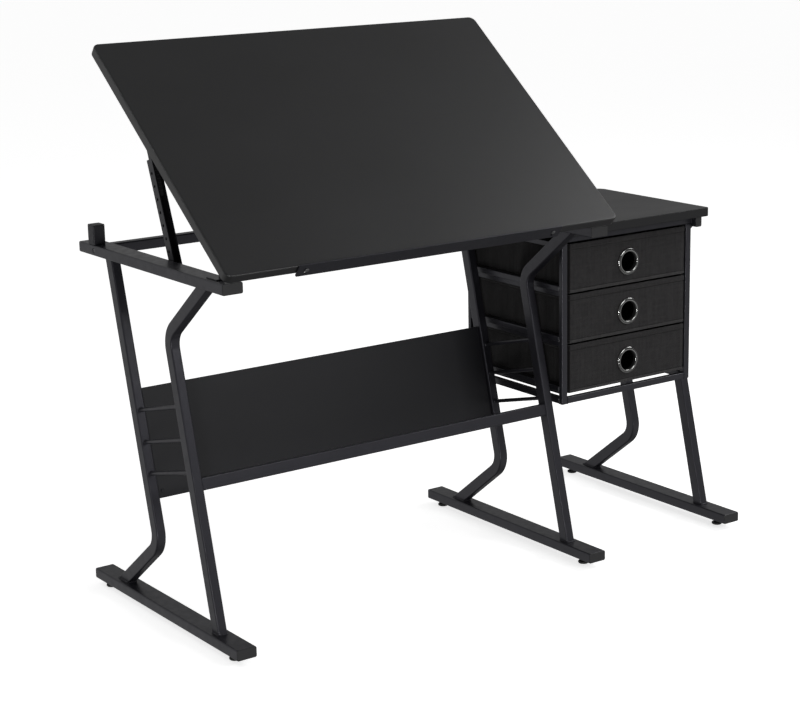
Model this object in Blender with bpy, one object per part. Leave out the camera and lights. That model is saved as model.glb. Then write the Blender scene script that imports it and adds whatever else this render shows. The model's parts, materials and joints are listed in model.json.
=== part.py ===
"""Drafting table: tilting board, fixed side board, and a rack with three fabric drawers.

Metres, +Z up. The origin is at the centre of the footprint, on the floor. +X runs
along the table towards the drawer side, -Y is the user's side.
"""
from math import atan2, cos, pi, radians, sin, tan

import bmesh
import bpy
from mathutils import Matrix, Vector

# ---- driving dimensions -------------------------------------------------------------
OVERALL_W = 1.2778          # over the left rail and the right foot
RAIL_W = 0.042              # flat rectangular tube of the feet and top rails
RAIL_H = 0.021
RAIL_ROUND = 0.003
TOP_Z = 0.717               # top of the two long top rails
FOOT_Z = 0.014              # underside of the foot rails
GAP = 0.0003                # between pieces that touch
TOP_RAIL_LEN = 0.556
FOOT_RAIL_LEN = 0.567
BOARD_W = 0.900
BOARD_IN = 0.002            # its left edge inside the outer side of the left rail
BOARD_D = 0.600
BOARD_T = 0.019
TILT = radians(38.5)        # tilt of the board at rest
SIDE_TOP_Z = 0.695          # top of the fixed side board
SIDE_D = 0.360

# ---- places worked out from them ------------------------------------------------------
Y_FRONT = -0.2803           # front end of the top rails
FOOT_Y0 = Y_FRONT + 0.002
FOOT_Y1 = FOOT_Y0 + FOOT_RAIL_LEN
X_LEFT = -OVERALL_W / 2 + RAIL_W / 2
X_MID = X_LEFT + 0.843
X_RIGHT = OVERALL_W / 2 - RAIL_W / 2
FRAMES = {"left": X_LEFT, "middle": X_MID, "right": X_RIGHT}
FRAME_BACK = {"left": 0.0, "middle": 0.0, "right": 0.010}    # how far back a frame stands
TOP_RAIL_Z0 = TOP_Z - RAIL_H
FOOT_TOP_Z = FOOT_Z + RAIL_H
SIDE_BOT_Z = SIDE_TOP_Z - BOARD_T
SIDE_END = OVERALL_W / 2 - 0.0022
BEAM_H = 0.016              # beams under the side board
BEAM_Z0 = SIDE_BOT_Z - GAP - BEAM_H
SIDE_TUBE_H = 0.0225        # tube on the right frame
SIDE_TUBE_Z0 = SIDE_BOT_Z - GAP - SIDE_TUBE_H
SIDE_TUBE_IN = 0.010        # its sides, from the middle of the right frame
SIDE_TUBE_OUT = 0.007

# ---- bent legs ------------------------------------------------------------------------
LEG_X = 0.020               # across the table
LEG_D = 0.025               # in the plane of the bend
LEG_BEND = 0.045            # radius of the centre line
LEG_STEPS = 12
FRONT_FOOT = (Y_FRONT + 0.0998, FOOT_TOP_Z)
FRONT_KNEE = (Y_FRONT + 0.2365, 0.582)
FRONT_TOP = (Y_FRONT + 0.0894, 0.699)
RIGHT_FRONT_TOP = (Y_FRONT + 0.111, 0.699)
REAR_FOOT = (Y_FRONT + 0.468, FOOT_TOP_Z)
REAR_KNEE = (Y_FRONT + 0.3185, 0.1495)
REAR_TOP = (Y_FRONT + 0.4567, 0.699)
RUNG_R = 0.004
RUNG_Z = (0.406, 0.345, 0.285)      # where they leave the rear leg

# ---- cross members ----------------------------------------------------------
CROSS_DROP = 0.0025         # rear cross rail below the tops of the rails
BAR_H = 0.025
BAR_D = 0.016
BAR_Z = 0.3068
PANEL_T = 0.012
PANEL_Z0 = 0.235
PANEL_Z1 = 0.446

# ---- hinge of the tilting board ----------------------------------------------------------
HINGE_Y = Y_FRONT + 0.0516
HINGE_Z = 0.748
BOARD_LIFT = 0.0087         # underside of the board above the hinge line
BOARD_LEAD = 0.0605         # front edge of the board in front of the hinge line
PIN_R = 0.003
PIN_FIT = 0.0003
HINGE_IN = 0.009            # ears of the hinge from the middle of the rail, inwards
LEAF_T = 0.003
LEAF_R = 0.007
PLATE_T = 0.002
POST = 0.0255               # rear rests that carry the board when it is flat
POST_Y = Y_FRONT + 0.50225

# ---- pencil ledge ------------------------------------------------------------------------
LEDGE_LEN = 0.606
LEDGE_T = 0.003
LEDGE_DOWN = 0.006          # below the underside of the board
LEDGE_UP = 0.0045           # above its top
LEDGE_TRAVEL = 0.008
SCREW_X = 0.284             # from the middle of the ledge
SCREW_W = 0.010             # above the underside of the board
SCREW_R = 0.002
SLOT_R = 0.0025
SCREW_HEAD_R = 0.0045
SCREW_CLEAR = 0.0001         # between the screw's tip and the board

# ---- lift arms -----------------------------------------------------------------------------
ARM_FOOT = (Y_FRONT + 0.258, 0.708)
ARM_TOP_U = 0.3902          # arm's upper pivot behind the hinge line, along the board
ARM_TOP_V = -0.0063         # and square to the board
ARM_V = 0.0205              # depth of the channel
ARM_X = 0.0165              # width of the channel
ARM_WALL = 0.002
ARM_CLEAR = 0.0005          # between rail and channel
CHANNEL_TAIL = 0.012
CHANNEL_LEN = 0.202
HEAD_SLOT = 0.180           # from here up, a slot in the inner wall lets the strut's stub pass
HEAD_SLOT_V = 0.0036        # half of that slot's width
THROUGH_FROM = 0.130        # holes above this go through both walls
BAR_LEN = 0.165
ARM_BAR_X = 0.009
ARM_BAR_V = 0.0145
HOLE_PITCH = 0.025
ARM_HOLE_R = 0.003
TOOTH = 0.0075
TOOTH_DEPTH = 0.0018
EAR_CLEAR = 0.002

# ---- drawer rack ------------------------------------------------------------------------------
RACK_X0 = X_LEFT + 0.8642
RACK_X1 = X_RIGHT - LEG_X / 2 - GAP
RACK_POST_X = 0.015
RACK_POST_Y = 0.012
RACK_Y0 = Y_FRONT + 0.141
RACK_Y1 = Y_FRONT + 0.465
RACK_Z0 = 0.317
RACK_BAR = 0.014            # height of the bottom bars
RACK_BEAM_Y = 0.015         # depth of the two beams under the side board
RACK_TOP = 0.012            # height of the top bars
RUNNER_H = 0.0195
LEDGE_IN = 0.008            # shelf of a runner under its drawer
DRAWER_Z = (0.5525, 0.4455, 0.3385)
DRAWER_H = 0.1035
DRAWER_D = 0.322
DRAWER_WALL = 0.003
DRAWER_SIDE_GAP = 0.0015
GROMMET_HOLE = 0.0215
GROMMET_OUT = 0.0293
GROMMET_DEPTH = 0.0045

# ---- glides ---------------------------------------------------------------------------------
GLIDE_R = 0.011
GLIDE_H = 0.0065
GLIDE_STEM_R = 0.004
GLIDE_STEM_TOP = 0.021
GLIDE_BORE_TOP = 0.029
GLIDE_INSET_FRONT = 0.045
GLIDE_INSET_REAR = 0.030


# ---- materials --------------------------------------------------------------------------------
def material(name, color, roughness, metallic=0.0):
    mat = bpy.data.materials.new(name)
    mat.use_nodes = True
    shader = mat.node_tree.nodes["Principled BSDF"]
    shader.inputs["Base Color"].default_value = (*color, 1.0)
    shader.inputs["Roughness"].default_value = roughness
    shader.inputs["Metallic"].default_value = metallic
    mat.diffuse_color = (*color, 1.0)
    return mat


FINISHES = {
    "powder_black": ((0.022, 0.023, 0.027), 0.45, 0.35),
    "steel_dark": ((0.030, 0.031, 0.035), 0.38, 0.7),
    "board_charcoal": ((0.030, 0.030, 0.032), 0.55, 0.0),
    "fabric_black": ((0.014, 0.013, 0.012), 0.95, 0.0),
    "chrome": ((0.80, 0.80, 0.80), 0.08, 1.0),
    "plastic_black": ((0.012, 0.012, 0.013), 0.5, 0.0),
}


def finish_of(name, slot):
    """Each sub-part has a material of its own, in one of the table's finishes."""
    color, roughness, metallic = FINISHES[slot]
    return material(name + "_" + slot, color, roughness, metallic)


# ---- shapes ------------------------------------------------------------------------------------
def add_object(name, bm, slot, location=(0, 0, 0), parent=None, smooth=True):
    bmesh.ops.recalc_face_normals(bm, faces=bm.faces)
    mesh = bpy.data.meshes.new(name)
    bm.to_mesh(mesh)
    bm.free()
    obj = bpy.data.objects.new(name, mesh)
    bpy.context.scene.collection.objects.link(obj)
    obj.location = location
    obj.parent = parent
    mesh.materials.append(finish_of(name, slot))
    if smooth:
        mesh.shade_smooth()
        mesh.set_sharp_from_angle(angle=radians(35))
    return obj


def add_empty(name, location, tilt=0.0):
    obj = bpy.data.objects.new(name, None)
    bpy.context.scene.collection.objects.link(obj)
    obj.location = location
    obj.rotation_euler = (tilt, 0, 0)
    return obj


def box_into(bm, lo, hi):
    lo, hi = Vector(lo), Vector(hi)
    made = bmesh.ops.create_cube(bm, size=1.0)
    bmesh.ops.scale(bm, vec=hi - lo, verts=made["verts"])
    bmesh.ops.translate(bm, vec=(lo + hi) / 2, verts=made["verts"])


def round_edges(bm, axis, radius, segments=2, keep=None):
    """Rounds the edges that run along one axis (0, 1 or 2)."""
    edges = []
    for edge in bm.edges:
        run = (edge.verts[1].co - edge.verts[0].co).normalized()
        if abs(run[axis]) > 0.999 and (keep is None or keep(edge)):
            edges.append(edge)
    bmesh.ops.bevel(bm, geom=edges, offset=radius, segments=segments, profile=0.5, affect="EDGES")


def box(name, lo, hi, slot, axis=None, radius=0.0, parent=None, location=(0, 0, 0)):
    bm = bmesh.new()
    box_into(bm, lo, hi)
    if axis is not None:
        round_edges(bm, axis, radius)
    return add_object(name, bm, slot, location, parent)


def extrude_outline(bm, points, x0, x1):
    """A closed outline in the Y-Z plane, pulled from x0 to x1."""
    near = [bm.verts.new((x0, y, z)) for y, z in points]
    face = bm.faces.new(near)
    pulled = bmesh.ops.extrude_face_region(bm, geom=[face])
    far = [item for item in pulled["geom"] if isinstance(item, bmesh.types.BMVert)]
    bmesh.ops.translate(bm, vec=(x1 - x0, 0, 0), verts=far)
    bmesh.ops.recalc_face_normals(bm, faces=bm.faces)


def cylinder_into(bm, radius, start, end, segments=16):
    start, end = Vector(start), Vector(end)
    run = end - start
    turn = Vector((0, 0, 1)).rotation_difference(run.normalized()).to_matrix().to_4x4()
    place = Matrix.Translation((start + end) / 2) @ turn
    bmesh.ops.create_cone(bm, cap_ends=True, segments=segments, radius1=radius,
                          radius2=radius, depth=run.length, matrix=place)


def turned(bm, profile, segments, axis="Z"):
    """A closed profile of (radius, height) points, turned about Z or about -Y."""
    rings = []
    for step in range(segments):
        turn = 2 * pi * step / segments
        ring = []
        for radius, height in profile:
            a, b = radius * cos(turn), radius * sin(turn)
            ring.append(bm.verts.new((a, b, height) if axis == "Z" else (a, -height, b)))
        rings.append(ring)
    count = len(profile)
    for step in range(segments):
        one, two = rings[step], rings[(step + 1) % segments]
        for k in range(count):
            bm.faces.new((one[k], one[(k + 1) % count], two[(k + 1) % count], two[k]))


def guide(name, bm, parent=None, location=(0, 0, 0)):
    """A cutting or joining shape that is not a piece of the table."""
    obj = add_object(name, bm, "steel_dark", location, parent, smooth=False)
    obj.hide_render = True
    obj.display_type = "WIRE"
    return obj


def cut(obj, tool, operation="DIFFERENCE"):
    mod = obj.modifiers.new(operation.lower(), "BOOLEAN")
    mod.operation = operation
    mod.object = tool
    mod.solver = "EXACT"


# ---- rails, feet and glides ---------------------------------------------------------------------
def top_rails():
    inner_side = {"left": 1, "middle": -1}
    for key, side in inner_side.items():
        x = FRAMES[key]
        rail = box("top_rail_" + key, (x - RAIL_W / 2, Y_FRONT, TOP_RAIL_Z0),
                   (x + RAIL_W / 2, Y_FRONT + TOP_RAIL_LEN, TOP_Z), "powder_black", 1, RAIL_ROUND)
        stud = bmesh.new()
        face = x + side * RAIL_W / 2
        reach = ARM_CLEAR + ARM_X + 0.002
        cylinder_into(stud, PIN_R, (face - side * 0.004, *ARM_FOOT), (face + side * reach, *ARM_FOOT), 20)
        cut(rail, guide("stud_" + key, stud), "UNION")
    box("top_rail_right", (X_RIGHT - SIDE_TUBE_IN, Y_FRONT + 0.127, SIDE_TUBE_Z0),
        (X_RIGHT + SIDE_TUBE_OUT, Y_FRONT + 0.475, SIDE_TUBE_Z0 + SIDE_TUBE_H), "powder_black", 1, RAIL_ROUND)


def glide_places(key):
    back = FRAME_BACK[key]
    return {"front": FOOT_Y0 + GLIDE_INSET_FRONT + back, "rear": FOOT_Y1 - GLIDE_INSET_REAR + back}


def foot_rails():
    for key, x in FRAMES.items():
        back = FRAME_BACK[key]
        rail = box("foot_rail_" + key, (x - RAIL_W / 2, FOOT_Y0 + back, FOOT_Z),
                   (x + RAIL_W / 2, FOOT_Y1 + back, FOOT_TOP_Z), "powder_black", 1, RAIL_ROUND)
        bores = bmesh.new()
        for y in glide_places(key).values():
            cylinder_into(bores, GLIDE_STEM_R + PIN_FIT, (x, y, FOOT_Z - 0.01), (x, y, GLIDE_BORE_TOP))
        cut(rail, guide("glide_bores_" + key, bores))


def glides():
    profile = [(0.0001, 0), (GLIDE_R - 0.002, 0), (GLIDE_R, 0.0015), (GLIDE_R, GLIDE_H - 0.0015),
               (GLIDE_R - 0.002, GLIDE_H), (GLIDE_STEM_R, GLIDE_H), (GLIDE_STEM_R, GLIDE_STEM_TOP),
               (0.0001, GLIDE_STEM_TOP)]
    for key, x in FRAMES.items():
        for end, y in glide_places(key).items():
            bm = bmesh.new()
            turned(bm, profile, 16)
            bmesh.ops.remove_doubles(bm, verts=bm.verts, dist=0.0003)
            close_poles(bm)
            add_object("glide_" + key + "_" + end, bm, "plastic_black", (x, y, 0))


def close_poles(bm):
    """Fills what a turned profile leaves open at its axis."""
    rims = [edge for edge in bm.edges if edge.is_boundary]
    if rims:
        bmesh.ops.holes_fill(bm, edges=rims, sides=0)


# ---- legs and rungs --------------------------------------------------------------------------
def bent_strip(low, knee, top, z0, z1):
    """Outline of a bent leg between two levels: straight, an arc at the knee, straight."""
    low, knee, top = Vector(low), Vector(knee), Vector(top)
    first = (knee - low).normalized()
    second = (top - knee).normalized()
    turn = atan2(first.x * second.y - first.y * second.x, first.dot(second))
    side = 1 if turn > 0 else -1
    start = knee - first * LEG_BEND * tan(abs(turn) / 2)
    normal = Vector((-first.y, first.x))
    centre = start + normal * side * LEG_BEND
    edges = []
    for offset in (LEG_D / 2, -LEG_D / 2):
        spoke = (start - centre) * (LEG_BEND - side * offset) / LEG_BEND
        arc = []
        for step in range(LEG_STEPS + 1):
            angle = turn * step / LEG_STEPS
            arc.append(centre + Matrix.Rotation(angle, 2) @ spoke)
        foot = arc[0] + first * (z0 - arc[0].y) / first.y
        head = arc[-1] + second * (z1 - arc[-1].y) / second.y
        edges.append([foot] + arc + [head])
    return [tuple(p) for p in edges[0] + edges[1][::-1]]


def legs():
    for key, x in FRAMES.items():
        z1 = SIDE_TUBE_Z0 if key == "right" else TOP_RAIL_Z0
        front_top = RIGHT_FRONT_TOP if key == "right" else FRONT_TOP
        for end, line in (("front", (FRONT_FOOT, FRONT_KNEE, front_top)),
                          ("rear", (REAR_FOOT, REAR_KNEE, REAR_TOP))):
            bm = bmesh.new()
            outline = bent_strip(*line, FOOT_TOP_Z + GAP, z1 - GAP)
            extrude_outline(bm, outline, -LEG_X / 2, LEG_X / 2)
            ends = (FOOT_TOP_Z + GAP, z1 - GAP)
            long_edges = []
            for edge in bm.edges:
                a, b = edge.verts[0].co, edge.verts[1].co
                flat_end = abs(a.z - b.z) < 1e-6 and min(abs(a.z - e) for e in ends) < 1e-5
                if abs(a.x - b.x) < 1e-6 and not flat_end:
                    long_edges.append(edge)
            bmesh.ops.bevel(bm, geom=long_edges, offset=RAIL_ROUND, segments=2, profile=0.5, affect="EDGES")
            add_object(end + "_leg_" + key, bm, "powder_black", (x, FRAME_BACK[key], 0))


def on_line(low, high, z):
    share = (z - low[1]) / (high[1] - low[1])
    return Vector((low[0] + (high[0] - low[0]) * share, z))


def on_front_leg(z):
    return on_line(FRONT_FOOT, FRONT_KNEE, z)


def on_rear_leg(z):
    return on_line(REAR_KNEE, REAR_TOP, z)


def lean_of(low, high):
    """Angle of a leg's straight run from the vertical, towards the rear."""
    return atan2(high[0] - low[0], high[1] - low[1])


def rungs():
    lean = (lean_of(FRONT_FOOT, FRONT_KNEE) + lean_of(REAR_KNEE, REAR_TOP)) / 2
    ahead = Vector((-cos(lean), sin(lean)))
    run = Vector(FRONT_KNEE) - Vector(FRONT_FOOT)
    for key, x in FRAMES.items():
        for number, z in enumerate(RUNG_Z, 1):
            rear = on_rear_leg(z)
            to_foot = Vector(FRONT_FOOT) - rear
            reach = (to_foot.x * run.y - to_foot.y * run.x) / (ahead.x * run.y - ahead.y * run.x)
            trim = LEG_D / 2 + 2 * GAP
            start = rear + ahead * trim
            end = rear + ahead * (reach - trim)
            bm = bmesh.new()
            middle = (start + end) / 2
            cylinder_into(bm, RUNG_R, (0, *(start - middle)), (0, *(end - middle)), 14)
            place = (x, middle.x + FRAME_BACK[key], middle.y)
            add_object("rung_" + key + "_" + str(number), bm, "powder_black", place)


# ---- cross members -----------------------------------------------------------------------------
def cross_members():
    x0 = X_LEFT + RAIL_W / 2 + GAP
    x1 = X_MID - RAIL_W / 2 - GAP
    y = Y_FRONT + 0.518
    box("rear_cross_rail", (x0, y - RAIL_H, TOP_RAIL_Z0 - CROSS_DROP), (x1, y, TOP_Z - CROSS_DROP),
        "powder_black", 0, RAIL_ROUND)
    x0 = X_LEFT + LEG_X / 2 + GAP
    x1 = X_MID - LEG_X / 2 - GAP
    lean = lean_of(FRONT_FOOT, FRONT_KNEE)
    bar = box("front_lower_bar", (x0, -BAR_D / 2, -BAR_H / 2), (x1, BAR_D / 2, BAR_H / 2),
              "powder_black", 0, RAIL_ROUND, location=(0, *on_front_leg(BAR_Z)))
    bar.rotation_euler = (-lean, 0, 0)
    lean = lean_of(REAR_KNEE, REAR_TOP)
    half = (PANEL_Z1 - PANEL_Z0) / cos(lean) / 2
    middle = on_rear_leg((PANEL_Z0 + PANEL_Z1) / 2)
    panel = box("back_panel", (x0, -PANEL_T / 2, -half), (x1, PANEL_T / 2, half),
                "board_charcoal", 0, 0.0012, location=(0, *middle))
    panel.rotation_euler = (-lean, 0, 0)


def rear_posts():
    top = HINGE_Z + BOARD_LIFT - GAP
    for key, side in (("left", -1), ("middle", 1)):
        x = FRAMES[key] + side * (RAIL_W / 2 - POST / 2)
        box("rear_post_" + key, (x - POST / 2, POST_Y - POST / 2, TOP_Z + GAP),
            (x + POST / 2, POST_Y + POST / 2, top), "plastic_black", 2, 0.002)


# ---- boards -----------------------------------------------------------------------------------
def rounded_slab(bm, lo, hi, corners, edge_round):
    """A flat board; corners are its radii, counter-clockwise from the lowest X and Y."""
    places = [(lo[0], lo[1], 1, 1), (hi[0], lo[1], -1, 1), (hi[0], hi[1], -1, -1), (lo[0], hi[1], 1, -1)]
    outline = []
    steps = 6
    for number, ((x, y, sx, sy), radius) in enumerate(zip(places, corners)):
        for step in range(steps + 1):
            angle = pi + number * pi / 2 + step * pi / 2 / steps
            outline.append((x + sx * radius + radius * cos(angle), y + sy * radius + radius * sin(angle)))
    verts = [bm.verts.new((x, y, lo[2])) for x, y in outline]
    face = bm.faces.new(verts)
    pulled = bmesh.ops.extrude_face_region(bm, geom=[face])
    top = [item for item in pulled["geom"] if isinstance(item, bmesh.types.BMVert)]
    bmesh.ops.translate(bm, vec=(0, 0, hi[2] - lo[2]), verts=top)
    rims = [e for e in bm.edges if abs(e.verts[0].co.z - e.verts[1].co.z) < 1e-6]
    bmesh.ops.bevel(bm, geom=rims, offset=edge_round, segments=2, profile=0.5, affect="EDGES")


def side_board():
    bm = bmesh.new()
    rounded_slab(bm, (X_MID + RAIL_W / 2 + GAP, Y_FRONT + 0.117, SIDE_BOT_Z),
                 (SIDE_END, Y_FRONT + 0.117 + SIDE_D, SIDE_TOP_Z),
                 (0.004, 0.006, 0.022, 0.004), 0.0015)
    add_object("side_board", bm, "board_charcoal")


def tilting_board(pivot):
    """Everything here is in the board's own frame: origin on the hinge line, +Y up the slope."""
    x0 = X_LEFT - RAIL_W / 2 + BOARD_IN
    under, top = BOARD_LIFT, BOARD_LIFT + BOARD_T
    front = -BOARD_LEAD
    bm = bmesh.new()
    rounded_slab(bm, (x0, front, under), (x0 + BOARD_W, front + BOARD_D, top), (0.014,) * 4, 0.0025)
    add_object("tilting_board", bm, "board_charcoal", parent=pivot)
    middle = x0 + BOARD_W / 2
    back = front - GAP
    ledge = box("pencil_ledge", (middle - LEDGE_LEN / 2, back - LEDGE_T, under - LEDGE_DOWN),
                (middle + LEDGE_LEN / 2, back, top + LEDGE_UP), "powder_black", 1, 0.004, parent=pivot)
    slots = bmesh.new()
    level = under + SCREW_W
    for side in (-1, 1):
        x = middle + side * SCREW_X
        slot_into(slots, x, level - LEDGE_TRAVEL, level, back - 2 * LEDGE_T, back + LEDGE_T)
    cut(ledge, guide("ledge_slots", slots, parent=pivot))
    for name, side in (("left", -1), ("right", 1)):
        x = middle + side * SCREW_X
        shank = LEDGE_T + 2 * GAP
        profile = [(0.0001, 0), (SCREW_R, 0), (SCREW_R, shank), (SCREW_HEAD_R, shank),
                   (SCREW_HEAD_R, shank + 0.001), (SCREW_HEAD_R - 0.0015, shank + 0.002),
                   (0.0001, shank + 0.002)]
        bm = bmesh.new()
        turned(bm, profile, 14, axis="Y")
        bmesh.ops.remove_doubles(bm, verts=bm.verts, dist=0.0003)
        close_poles(bm)
        add_object("ledge_screw_" + name, bm, "steel_dark", (x, back + SCREW_CLEAR, level), pivot)


def slot_into(bm, x, z0, z1, y0, y1):
    outline = []
    steps = 5
    for z, start in ((z1, 0.0), (z0, pi)):
        for step in range(steps + 1):
            angle = start + pi * step / steps
            outline.append(bm.verts.new((x + SLOT_R * cos(angle), y0, z + SLOT_R * sin(angle))))
    face = bm.faces.new(outline)
    pulled = bmesh.ops.extrude_face_region(bm, geom=[face])
    far = [item for item in pulled["geom"] if isinstance(item, bmesh.types.BMVert)]
    bmesh.ops.translate(bm, vec=(0, y1 - y0, 0), verts=far)
    bmesh.ops.recalc_face_normals(bm, faces=bm.faces)


# ---- hinges ---------------------------------------------------------------------------------
def ear_outline(radius, reach, steps=8):
    """A round-ended ear about the origin that goes to the level given by reach."""
    sign = 1 if reach > 0 else -1
    arc = []
    for step in range(steps + 1):
        angle = pi * step / steps
        arc.append((radius * cos(angle), -sign * radius * sin(angle)))
    return [(radius, reach)] + arc + [(-radius, reach)]


def hinges(pivot):
    for key, side in (("left", 1), ("middle", -1)):
        x = FRAMES[key] + side * HINGE_IN
        down = TOP_Z + GAP - HINGE_Z
        bm = bmesh.new()
        extrude_outline(bm, ear_outline(LEAF_R, down), -side * LEAF_T, 0)
        bracket = add_object("hinge_bracket_" + key, bm, "steel_dark", (x, HINGE_Y, HINGE_Z))
        plate = bmesh.new()
        near, far = sorted((-side * 0.022, side * 0.006))
        box_into(plate, (near, -0.018, down), (far, 0.018, down + PLATE_T))
        cut(bracket, guide("hinge_plate_" + key, plate, location=(x, HINGE_Y, HINGE_Z)), "UNION")
        pin = bmesh.new()
        cylinder_into(pin, PIN_R, (-side * 0.005, 0, 0), (side * 0.0065, 0, 0), 20)
        cut(bracket, guide("hinge_pin_" + key, pin, location=(x, HINGE_Y, HINGE_Z)), "UNION")
        up = BOARD_LIFT - GAP
        near = side * GAP
        bm = bmesh.new()
        extrude_outline(bm, ear_outline(LEAF_R, up), near, near + side * LEAF_T)
        leaf = add_object("hinge_leaf_" + key, bm, "steel_dark", (x, 0, 0), pivot)
        plate = bmesh.new()
        far = near + side * 0.014
        box_into(plate, (min(near, far), -0.018, up - PLATE_T), (max(near, far), 0.018, up))
        cut(leaf, guide("leaf_plate_" + key, plate, pivot, (x, 0, 0)), "UNION")
        bore = bmesh.new()
        cylinder_into(bore, PIN_R + PIN_FIT, (-0.01, 0, 0), (0.01, 0, 0), 20)
        cut(leaf, guide("leaf_bore_" + key, bore, pivot, (x, 0, 0)))


# ---- lift arms -------------------------------------------------------------------------------
def arm_line():
    """Length and slope of the arm at rest, between its two pivots."""
    top = Vector((HINGE_Y + ARM_TOP_U * cos(TILT) - ARM_TOP_V * sin(TILT),
                  HINGE_Z + ARM_TOP_U * sin(TILT) + ARM_TOP_V * cos(TILT)))
    run = top - Vector(ARM_FOOT)
    return run.length, atan2(run.y, run.x)


def arm_channel(name, x, arm, side):
    """U channel on the rail's stud; side is the side of the ear under the board."""
    half_x, half_v = ARM_X / 2, ARM_V / 2
    bm = bmesh.new()
    box_into(bm, (-half_x, -CHANNEL_TAIL, -half_v), (half_x, CHANNEL_LEN, half_v))
    round_edges(bm, 1, 0.0012, keep=lambda e: e.verts[0].co.z < 0)
    channel = add_object(name, bm, "powder_black", (x, 0, 0), arm)
    trough = bmesh.new()
    inner = half_x - ARM_WALL
    box_into(trough, (-inner, -0.02, -half_v + ARM_WALL), (inner, CHANNEL_LEN + 0.01, half_v + 0.01))
    cut(channel, guide(name + "_trough", trough, arm, (x, 0, 0)))
    holes = bmesh.new()
    outer, within = -side * (half_x + 0.002), side * (half_x + 0.002)
    cylinder_into(holes, PIN_R + PIN_FIT, (outer, 0, 0), (within, 0, 0), 20)
    place = HOLE_PITCH
    while place < HEAD_SLOT - ARM_HOLE_R:
        end = within if place > THROUGH_FROM else 0
        cylinder_into(holes, ARM_HOLE_R, (outer, place, 0), (end, place, 0), 12)
        place += HOLE_PITCH
    near, far = sorted((side * inner * 0.5, within))
    box_into(holes, (near, HEAD_SLOT, -HEAD_SLOT_V), (far, CHANNEL_LEN + 0.01, HEAD_SLOT_V))
    cut(channel, guide(name + "_holes", holes, arm, (x, 0, 0)))


def arm_bar(name, x, arm, length, side):
    half = ARM_BAR_V / 2
    low, high = length - BAR_LEN, length + half
    outline = [(high, -half + 0.003), (high, half - 0.003), (high - 0.003, half)]
    tooth = high - 0.020
    while tooth - TOOTH > low:
        outline.append((tooth, half))
        outline.append((tooth - 0.001, half - TOOTH_DEPTH))
        tooth -= TOOTH
    outline += [(low, half - TOOTH_DEPTH), (low, -half), (high - 0.003, -half)]
    bm = bmesh.new()
    extrude_outline(bm, outline, -ARM_BAR_X / 2, ARM_BAR_X / 2)
    bar = add_object(name, bm, "steel_dark", (x, 0, 0), arm)
    stub = bmesh.new()
    reach = ARM_X / 2 + EAR_CLEAR / 2
    cylinder_into(stub, PIN_R, (0, length, 0), (side * reach, length, 0), 20)
    cut(bar, guide(name + "_stub", stub, arm, (x, 0, 0)), "UNION")
    holes = bmesh.new()
    place = HOLE_PITCH * int(low / HOLE_PITCH + 1)
    while place < length - 2 * ARM_HOLE_R:
        cylinder_into(holes, ARM_HOLE_R, (-0.01, place, 0), (0.01, place, 0), 12)
        place += HOLE_PITCH
    cut(bar, guide(name + "_holes", holes, arm, (x, 0, 0)))


def arm_bracket(key, x, pivot, side):
    """L bracket under the board: an ear beside the arm's head and a plate on the wood."""
    up = BOARD_LIFT - GAP - ARM_TOP_V
    near = side * (ARM_X / 2 + EAR_CLEAR)
    bm = bmesh.new()
    extrude_outline(bm, ear_outline(LEAF_R, up), near, near + side * LEAF_T)
    bracket = add_object("arm_bracket_" + key, bm, "steel_dark", (x, ARM_TOP_U, ARM_TOP_V), pivot)
    plate = bmesh.new()
    far = near + side * 0.020
    box_into(plate, (min(near, far), -0.020, up - PLATE_T), (max(near, far), 0.020, up))
    cut(bracket, guide("arm_plate_" + key, plate, pivot, (x, ARM_TOP_U, ARM_TOP_V)), "UNION")


def lift_arms(pivot):
    length, slope = arm_line()
    for key, side in (("left", 1), ("middle", -1)):
        x = FRAMES[key] + side * (RAIL_W / 2 + ARM_CLEAR + ARM_X / 2)
        arm = add_empty("arm_foot_" + key, (0, *ARM_FOOT), slope)
        arm_channel("arm_channel_" + key, x, arm, side)
        arm_bar("arm_bar_" + key, x, arm, length, side)
        arm_bracket(key, x, pivot, side)


# ---- drawer rack and drawers ---------------------------------------------------------------------
def rack_side(key, x0, inner):
    """Two posts, three runners and top and bottom bars in one welded frame."""
    x1 = x0 + RACK_POST_X
    top = BEAM_Z0 - GAP
    side = box("rack_side_" + key, (x0, RACK_Y0, RACK_Z0), (x1, RACK_Y1, top), "powder_black", 2, 0.002)
    levels = [(RACK_Z0, RACK_Z0 + RACK_BAR)]
    levels += [(z - DRAWER_WALL, z - DRAWER_WALL + RUNNER_H) for z in reversed(DRAWER_Z)]
    levels.append((top - RACK_TOP, top))
    windows = bmesh.new()
    y0, y1 = RACK_Y0 + RACK_POST_Y, RACK_Y1 - RACK_POST_Y
    for below, above in zip(levels, levels[1:]):
        box_into(windows, (x0 - 0.01, y0, below[1]), (x1 + 0.01, y1, above[0]))
    cut(side, guide("rack_windows_" + key, windows))
    shelves = bmesh.new()
    edge = x1 if inner > 0 else x0
    for z in DRAWER_Z:
        xa, xb = sorted((edge - inner * 0.003, edge + inner * LEDGE_IN))
        box_into(shelves, (xa, y0 + 0.004, z - DRAWER_WALL), (xb, y1 - 0.004, z - GAP))
    cut(side, guide("rack_shelves_" + key, shelves), "UNION")


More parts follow.
